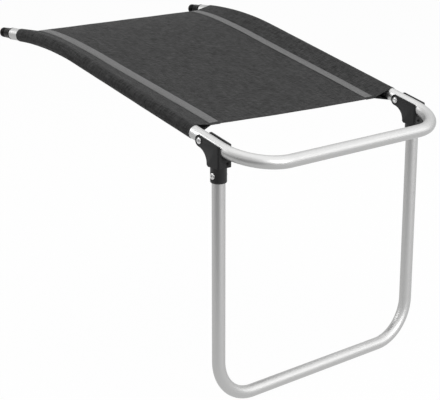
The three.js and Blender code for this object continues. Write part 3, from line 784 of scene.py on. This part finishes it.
def walled_tube(name, tree, route, drill_place, body, node_name):
    """A tube along a route, with its wall and its two rivet holes."""
    tube = grow(name, tree, [route], Radius=TUBE_RADIUS, Sides=TUBE_SIDES, Material=ALUMINIUM)
    wall = tube.modifiers.new("wall", "SOLIDIFY")
    wall.thickness = TUBE_WALL
    wall.offset = -1
    wall.use_even_offset = True
    flatten(tube)
    drill = bar_cutter(RIVET_HOLE_RADIUS, drill_place, 4 * HALF_SPACING)
    cut = tube.modifiers.new("rivet holes", "BOOLEAN")
    cut.operation = "DIFFERENCE"
    cut.solver = "EXACT"
    cut.object = drill
    flatten(tube)
    bpy.data.objects.remove(drill)
    smooth(tube, crease=40)
    return settle(tube, body, [node_name])


tube_along = bent_tube_tree()
walled_tube("arm_tube", tube_along, seat_route(), Vector((0, PIVOT.y, PIVOT.z)), "frame", "seat_frame")
walled_tube(
    "leg_tube",
    tube_along,
    leg_route(),
    Vector((0, PIVOT.y - PIVOT_SETBACK, PIVOT.z - SOCKET_RIVET_DEPTH)),
    "leg",
    "leg_frame",
)


def rivet_profile(face):
    """Head, shank and rolled end along the rivet, from the outside to the inside."""
    outer = face + RIVET_CLEARANCE
    inner = face + 2 * RIVET_CLEARANCE + WASHER_THICKNESS
    top, rolled_top = outer + HEAD_HEIGHT, inner + ROLLED_HEIGHT
    points = [(radius * MM, -top + depth * MM) for radius, depth in HEAD_DIMPLE]
    points += [(HEAD_RADIUS, -outer - HEAD_RIM), (HEAD_RADIUS, -outer), (RIVET_RADIUS, -outer)]
    points += [(RIVET_RADIUS, inner), (ROLLED_RADIUS, inner), (ROLLED_RADIUS, inner + ROLLED_RIM)]
    points += [(radius * MM, rolled_top - depth * MM) for radius, depth in ROLLED_END]
    return points


def washer_profile(face):
    near = face + RIVET_CLEARANCE
    far = near + WASHER_THICKNESS
    ring = [(RIVET_HOLE_RADIUS, near), (WASHER_RADIUS, near), (WASHER_RADIUS, far), (RIVET_HOLE_RADIUS, far)]
    return ring + ring[:1]


def plug_profile():
    """Spigot, flange, taper, groove and rounded tip, from inside the arm to the chair."""
    spigot = TUBE_RADIUS - TUBE_WALL - PLUG_SPIGOT_PLAY
    points = [(radius * MM, along * MM) for radius, along in PLUG_SPIGOT_END]
    points += [(spigot, -PLUG_SPIGOT_LENGTH), (spigot, PLUG_SEAT_GAP)]
    points += [(TUBE_RADIUS, PLUG_SEAT_GAP), (TUBE_RADIUS, PLUG_FLANGE_END)]
    points += [(radius * MM, along * MM) for radius, along in PLUG_BODY]
    body_end = points[-1][1]
    for step in range(1, PLUG_TIP_STEPS):
        turn = step / PLUG_TIP_STEPS * math.pi / 2
        radius = PLUG_TIP_RADIUS + PLUG_TIP_ROUNDING * math.cos(turn)
        points.append((radius, body_end + PLUG_TIP_ROUNDING * math.sin(turn)))
    tip = body_end + PLUG_TIP_ROUNDING
    return points + [(PLUG_TIP_RADIUS, tip), (0, tip)]


def moulded_copy(name, node_name, material, edge):
    """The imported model's own bracket, with its flats joined up and its edges softened."""
    made = bmesh.new()
    made.from_mesh(frame["nodes"][node_name].data)
    bmesh.ops.remove_doubles(made, verts=made.verts, dist=0.002 * MM)
    bmesh.ops.dissolve_limit(
        made, angle_limit=math.radians(1), verts=made.verts, edges=made.edges, delimit={"NORMAL"}
    )
    bmesh.ops.recalc_face_normals(made, faces=made.faces)
    return soft_edges(from_bmesh(name, made, material), edge, crease=24)


arm_end, arm_heading = arm_place(ARM_END)
for side_name, side in (("left", -1), ("right", 1)):
    pivot = Vector((side * HALF_SPACING, PIVOT.y, PIVOT.z))
    socket = pivot + Vector((0, -PIVOT_SETBACK, -SOCKET_RIVET_DEPTH))
    inward = (-side, 0, 0)
    rivets = ((pivot, "pivot", HEAD_HALF_WIDTH, "frame"), (socket, "socket", SPOTFACE_DISTANCE, "leg"))
    for place, word, face, body in rivets:
        rivet = turned(f"{word}_rivet_head_{side_name}", rivet_profile(face), place, inward, STEEL)
        settle(rivet, body, [f"{word}_rivet_{side_name}"])
        ring = turned(f"{word}_washer_ring_{side_name}", washer_profile(face), place, inward, STEEL)
        settle(ring, body, [f"{word}_washer_{side_name}"])
    plug_place = Vector((side * HALF_SPACING, arm_end.y, arm_end.z))
    plug = turned(
        f"chair_plug_{side_name}",
        plug_profile(),
        plug_place,
        arm_heading,
        PLUG_PLASTIC,
        sides=64,
        edge=PLUG_EDGE,
    )
    settle(plug, "frame", [f"end_plug_{side_name}"])
    bracket = moulded_copy(f"saddle_bracket_{side_name}", f"hinge_bracket_{side_name}", PLASTIC, BRACKET_EDGE)
    settle(bracket, "leg", [f"hinge_bracket_{side_name}"])
    spacer = frame["nodes"][f"pivot_spacer_{side_name}"]
    spacer.data.materials.clear()
    spacer.data.materials.append(NYLON)


# Sling
def seam_offset(distance):
    """How far inboard of the arms' axes the seams lie."""
    share = (distance - SLING_FRONT) / (SLING_REAR - SLING_FRONT)
    return SEAM_FRONT_OFFSET + (SEAM_REAR_OFFSET - SEAM_FRONT_OFFSET) * share


def seam_x(distance):
    return HALF_SPACING - seam_offset(distance)


def lift_share(distance):
    """How much of the rear edge's lift is reached."""
    share = min(max((distance - SLING_REAR + REAR_LIFT_RUN) / REAR_LIFT_RUN, 0), 1)
    return share * share * (3 - 2 * share)


def seam_height(distance):
    reach = (distance - SHEET_DROP_PLACE) / SHEET_DROP_REACH
    return REAR_EDGE_LIFT * lift_share(distance) - SHEET_DROP * max(0, 1 - reach**2) ** 2


def sheet_height(x, distance):
    """Height of the cloth's middle above the arms' plane, between the seams."""
    sag = SLING_SAG * (1 - lift_share(distance)) * max(0, 1 - (x / seam_x(distance)) ** 2)
    return seam_height(distance) - sag


def edge_setback(x):
    """How far back the front edge lies from where the sleeves start on average."""
    reach = HALF_SPACING - SEAM_FRONT_OFFSET
    sleeve_share = min(max((abs(x) - reach) / SEAM_FRONT_OFFSET, 0), 1)
    between_seams = FRONT_EDGE_SETBACK - FRONT_EDGE_SKEW * min(max(x / reach, -1), 1)
    sleeve_end = -math.copysign(SLEEVE_END_SKEW, x)
    return between_seams + (sleeve_end - between_seams) * sleeve_share


def laid(x, distance, height):
    """A place over the arms' plane, with the sling's front edge in its true place."""
    edge_share = max(0, 1 - (distance - SLING_FRONT) / FRONT_EDGE_RUN)
    middle, heading = arm_place(distance + edge_share * edge_setback(x))
    return middle + X_AXIS * x + X_AXIS.cross(heading) * height


def between(start, stop):
    """Points on a flat side of a sleeve, without its two ends."""
    shares = [i / SLEEVE_FLAT_STEPS for i in range(1, SLEEVE_FLAT_STEPS)]
    return [tuple(a + (b - a) * share for a, b in zip(start, stop)) for share in shares]


def half_section(distance):
    """The left half of the cloth, from the loose edge under the sheet, round the arm, to the middle."""
    seam, seam_place = seam_offset(distance), -seam_x(distance)
    upper = seam_height(distance)
    lower = upper - LAYER_PITCH
    points = []
    for i in range(ALLOWANCE_STEPS + 1):
        x = seam_place + BAND_WIDTH * (1 - i / ALLOWANCE_STEPS)
        points.append((x, sheet_height(x, distance) - LAYER_PITCH))
    arcs = []
    for height in (lower, upper):
        tangent = math.acos(SLEEVE_RADIUS / math.hypot(seam, height))
        arcs.append((math.atan2(height, seam), tangent))
    low = arcs[0][0] - arcs[0][1]
    high = arcs[1][0] + arcs[1][1] - 2 * math.pi
    around = [low + (high - low) * i / SLEEVE_STEPS for i in range(SLEEVE_STEPS + 1)]
    ring = [(SLEEVE_RADIUS * math.cos(a) - HALF_SPACING, SLEEVE_RADIUS * math.sin(a)) for a in around]
    points += between((seam_place, lower), ring[0])
    points += ring
    points += between(ring[-1], (seam_place, upper))
    points.append((seam_place, upper))
    for i in range(1, SHEET_STEPS + 1):
        x = seam_place * (1 - i / SHEET_STEPS)
        points.append((x, sheet_height(x, distance)))
    return points


def sling_section(distance):
    left = half_section(distance)
    return np.array(left + [(-x, h) for x, h in reversed(left[:-1])])


def ripple(x, distance, around):
    """Soft unevenness of the stretched cloth off its plane. Around is 0 on the sheet and 1 on the arm."""
    right = 1 if x > 0 else 0
    slow = math.sin(SHEET_WAVES_ALONG * distance + SHEET_WAVES_SKEW * x)
    slow *= math.sin(SHEET_WAVES_ACROSS * x + 1.7)
    seam = math.exp(-(((abs(x) - seam_x(distance)) / PUCKER_REACH) ** 2))
    pucker = seam * math.sin(2 * math.pi * distance / PUCKER_PITCH + 2 * right)
    sleeve = 1 + math.sin(SLEEVE_WAVES[0] * distance + 1.3 * right) * math.sin(SLEEVE_WAVES[1] * distance)
    return SHEET_RIPPLE * (1 - around) * slow + PUCKER_DEPTH * pucker + SLEEVE_RIPPLE * around * sleeve


def make_sling():
    """The cloth, its average width laid flat, and its length."""
    length = SLING_REAR - SLING_FRONT
    stations = [SLING_FRONT + length * i / (CLOTH_STATIONS - 1) for i in range(CLOTH_STATIONS)]
    points, spots, widths = [], [], []
    for distance in stations:
        section = sling_section(distance)
        steps = np.linalg.norm(np.diff(section, axis=0), axis=1)
        developed = np.concatenate([[0], np.cumsum(steps)])
        widths.append(float(developed[-1]))
        slopes = np.gradient(section, axis=0)
        off = np.stack([-slopes[:, 1], slopes[:, 0]], 1)
        off /= np.linalg.norm(off, axis=1)[:, None]
        for (x, h), (ox, oh), run in zip(section, off, developed):
            around = min(max((abs(x) - seam_x(distance)) / seam_offset(distance), 0.0), 1.0)
            lift = ripple(x, distance, around)
            points.append(laid(x + ox * lift, distance, h + oh * lift))
            spots.append((run - widths[-1] / 2, distance))
    wide = len(section)
    faces = [
        (r * wide + c, r * wide + c + 1, (r + 1) * wide + c + 1, (r + 1) * wide + c)
        for r in range(CLOTH_STATIONS - 1)
        for c in range(wide - 1)
    ]
    mesh = bpy.data.meshes.new("sling_cloth")
    mesh.from_pydata([tuple(p) for p in points], [], faces)
    mesh.materials.append(CLOTH)
    layer = mesh.uv_layers.new(name="cloth")
    for loop in mesh.loops:
        layer.data[loop.index].uv = spots[loop.vertex_index]
    cloth = link_new("sling_cloth", mesh)
    thick = cloth.modifiers.new("thickness", "SOLIDIFY")
    thick.thickness = CLOTH_THICKNESS
    thick.offset = 0
    thick.use_even_offset = True
    flatten(cloth)
    smooth(cloth, crease=60)
    return cloth, sum(widths) / CLOTH_STATIONS, length


def lengthwise(side, inset, start, stop, lift, step=4 * MM):
    """A line on the sheet along a seam, at a distance inboard of it."""
    count = math.ceil((stop - start) / step)
    line = []
    for i in range(count + 1):
        distance = start + (stop - start) * i / count
        x = side * (seam_x(distance) - inset)
        line.append(laid(x, distance, sheet_height(x, distance) + lift))
    return line


def crosswise(distance, reach, lift, step=6 * MM):
    """A line across the sheet, as far as a reach to either side."""
    count = math.ceil(2 * reach / step)
    across = [-reach + 2 * reach * i / count for i in range(count + 1)]
    return [laid(x, distance, sheet_height(x, distance) + lift) for x in across]


def close_ends(piece):
    """Fills the two open ends of a tape."""
    made = bmesh.new()
    made.from_mesh(piece.data)
    bmesh.ops.remove_doubles(made, verts=made.verts, dist=0.001 * MM)
    edges = [edge for edge in made.edges if edge.is_boundary]
    bmesh.ops.holes_fill(made, edges=edges, sides=0)
    bmesh.ops.recalc_face_normals(made, faces=made.faces)
    made.to_mesh(piece.data)
    made.free()
    return smooth(piece, crease=35)


sling, sling_width, sling_length = make_sling()
tape_along = tape_tree()
stitches_along = stitch_tree()
top = CLOTH_THICKNESS / 2
with_sling = []
for side_name, side in (("left", -1), ("right", 1)):
    ends = (SLING_FRONT + BAND_INSET, SLING_REAR - BAND_INSET)
    route = lengthwise(side, BAND_WIDTH / 2, *ends, top + BAND_THICKNESS / 2)
    band = grow(
        f"seam_tape_{side_name}",
        tape_along,
        [route],
        Width=BAND_WIDTH,
        Thickness=BAND_THICKNESS,
        Edge_Radius=BAND_EDGE_RADIUS,
        Material=TAPE,
    )
    close_ends(band)
    settle(band, "frame", [f"seam_band_{side_name}"])
    row_ends = (SLING_FRONT + TAPE_STITCH_START, SLING_REAR - TAPE_STITCH_START)
    rows = [
        lengthwise(side, inset, *row_ends, top + BAND_THICKNESS + THREAD_STANDOFF)
        for inset in (TAPE_STITCH_INSET, BAND_WIDTH - TAPE_STITCH_INSET)
    ]
    stitches = grow(f"tape_stitches_{side_name}", stitches_along, rows, Seed=11 + side, Material=THREAD)
    settle(stitches, "frame")
    with_sling += [band, stitches]

hem_line = HEM_WIDTH - HEM_STITCH_INSET
hem_rows = [
    crosswise(distance, seam_x(distance) - BAND_WIDTH - HEM_STITCH_GAP, top + THREAD_STANDOFF)
    for distance in (SLING_FRONT + hem_line, SLING_REAR - hem_line)
]
hem_stitches = grow(
    "hem_stitches",
    stitches_along,
    hem_rows,
    Seed=5,
    Thread_Radius=HEM_THREAD_RADIUS,
    Material=DARK_THREAD,
)
settle(hem_stitches, "frame")
with_sling.append(hem_stitches)
settle(sling, "frame", ["sling"])


# Camera
CAMERA_PLACE = Vector((-1.535, -1.7782, 0.9605))
CAMERA_AZIMUTH = math.radians(40.83)
CAMERA_DIP = math.radians(16.68)
CAMERA_LENS = 108.15
AHEAD = Vector((math.sin(CAMERA_AZIMUTH), math.cos(CAMERA_AZIMUTH), 0))
ACROSS = Vector((math.cos(CAMERA_AZIMUTH), -math.sin(CAMERA_AZIMUTH), 0))

# Floor, world and lamps. The floor's corners are (across, ahead) in metres, as the camera looks
FLOOR_CORNERS = ((-7, -0.95), (0.1, -0.95), (0.35, -1.7), (7, -1.7), (7, 14), (-7, 14))
FLOOR_DROP = 0.1 * MM
FLOOR_GREY = 0.86
FLOOR_WHITE_SHARE = 0.97
WORLD_LEVEL = 0.25
HORIZON_BAND = 0.05
LAMPS_AIM = Vector((0, 0, 0.4))

camera_data = bpy.data.cameras.new("camera")
camera_data.lens = CAMERA_LENS
camera_data.sensor_width = 36
camera_data.sensor_fit = "HORIZONTAL"
camera = link_new("camera", camera_data)
camera.location = CAMERA_PLACE
looks = AHEAD * math.cos(CAMERA_DIP) - Vector((0, 0, math.sin(CAMERA_DIP)))
camera.rotation_euler = looks.to_track_quat("-Z", "Y").to_euler()
bpy.context.scene.camera = camera
bpy.context.scene.view_settings.view_transform = "Standard"


def studio_place(across, ahead, height):
    """A place in the studio, counted from the middle of the object as the camera sees it."""
    return ACROSS * across + AHEAD * ahead + Vector((0, 0, height))


def sees_white(tree):
    """Rays that show the white background: the camera's, and those that metal and plastic mirror."""
    rays = node(tree, "ShaderNodeLightPath")
    return rays.outputs["Is Camera Ray"], rays.outputs["Is Glossy Ray"]


def white_floor():
    """A white sheet under the object and behind it. In front it ends sooner on the left."""
    corners = [studio_place(across, ahead, -FLOOR_DROP) for across, ahead in FLOOR_CORNERS]
    made = bmesh.new()
    made.faces.new([made.verts.new(corner) for corner in corners])
    bmesh.ops.recalc_face_normals(made, faces=made.faces)
    material, tree, shader = new_material("studio floor")
    shader.inputs["Base Color"].default_value = colour(FLOOR_GREY)
    shader.inputs["Roughness"].default_value = 0.9
    shader.inputs["Specular IOR Level"].default_value = 0.1
    seen = maths(tree, "MAXIMUM", *sees_white(tree))
    white = node(tree, "ShaderNodeEmission", {"Color": colour(1.0), "Strength": 1.0})
    share = maths(tree, "MULTIPLY", seen, FLOOR_WHITE_SHARE)
    mixed = node(tree, "ShaderNodeMixShader", {0: share, 1: shader.outputs[0], 2: white.outputs[0]})
    tree.links.new(mixed.outputs[0], tree.nodes["Material Output"].inputs["Surface"])
    from_bmesh("floor", made, material)


def studio_world():
    """An even grey light. The camera sees it white, and so does metal above the floor."""
    world = bpy.data.worlds.new("studio")
    world.use_nodes = True
    tree = world.node_tree
    background = tree.nodes["Background"]
    background.inputs["Color"].default_value = colour(1.0)
    heading = node(tree, "ShaderNodeSeparateXYZ", {0: node(tree, "ShaderNodeTexCoord").outputs["Generated"]})
    over_floor = span(tree, heading.outputs["Z"], 0.0, HORIZON_BAND, 0.0, 1.0)
    camera_ray, mirrored = sees_white(tree)
    seen = maths(tree, "MAXIMUM", camera_ray, maths(tree, "MULTIPLY", mirrored, over_floor))
    tree.links.new(span(tree, seen, 0.0, 1.0, WORLD_LEVEL, 1.0), background.inputs["Strength"])
    bpy.context.scene.world = world


def softbox(name, place, size, power):
    """A lamp with a wide face, in watts, turned to the middle of the object."""
    lamp = bpy.data.lights.new(name, "AREA")
    lamp.shape = "RECTANGLE"
    lamp.size, lamp.size_y = size
    lamp.energy = power
    box = link_new(name, lamp)
    box.visible_camera = False
    box.location = studio_place(*place)
    box.rotation_euler = (LAMPS_AIM - box.location).to_track_quat("-Z", "Y").to_euler()


white_floor()
studio_world()
softbox("overhead", (0.6, -0.1, 2.8), (4.4, 4.4), 54)
softbox("right bank", (3.0, 0.0, 1.2), (1.5, 1.9), 14)
softbox("front bank", (2.2, -2.2, 1.3), (1.5, 1.5), 42)
softbox("left bank", (-2.6, 0.0, 2.2), (1.4, 1.4), 34)
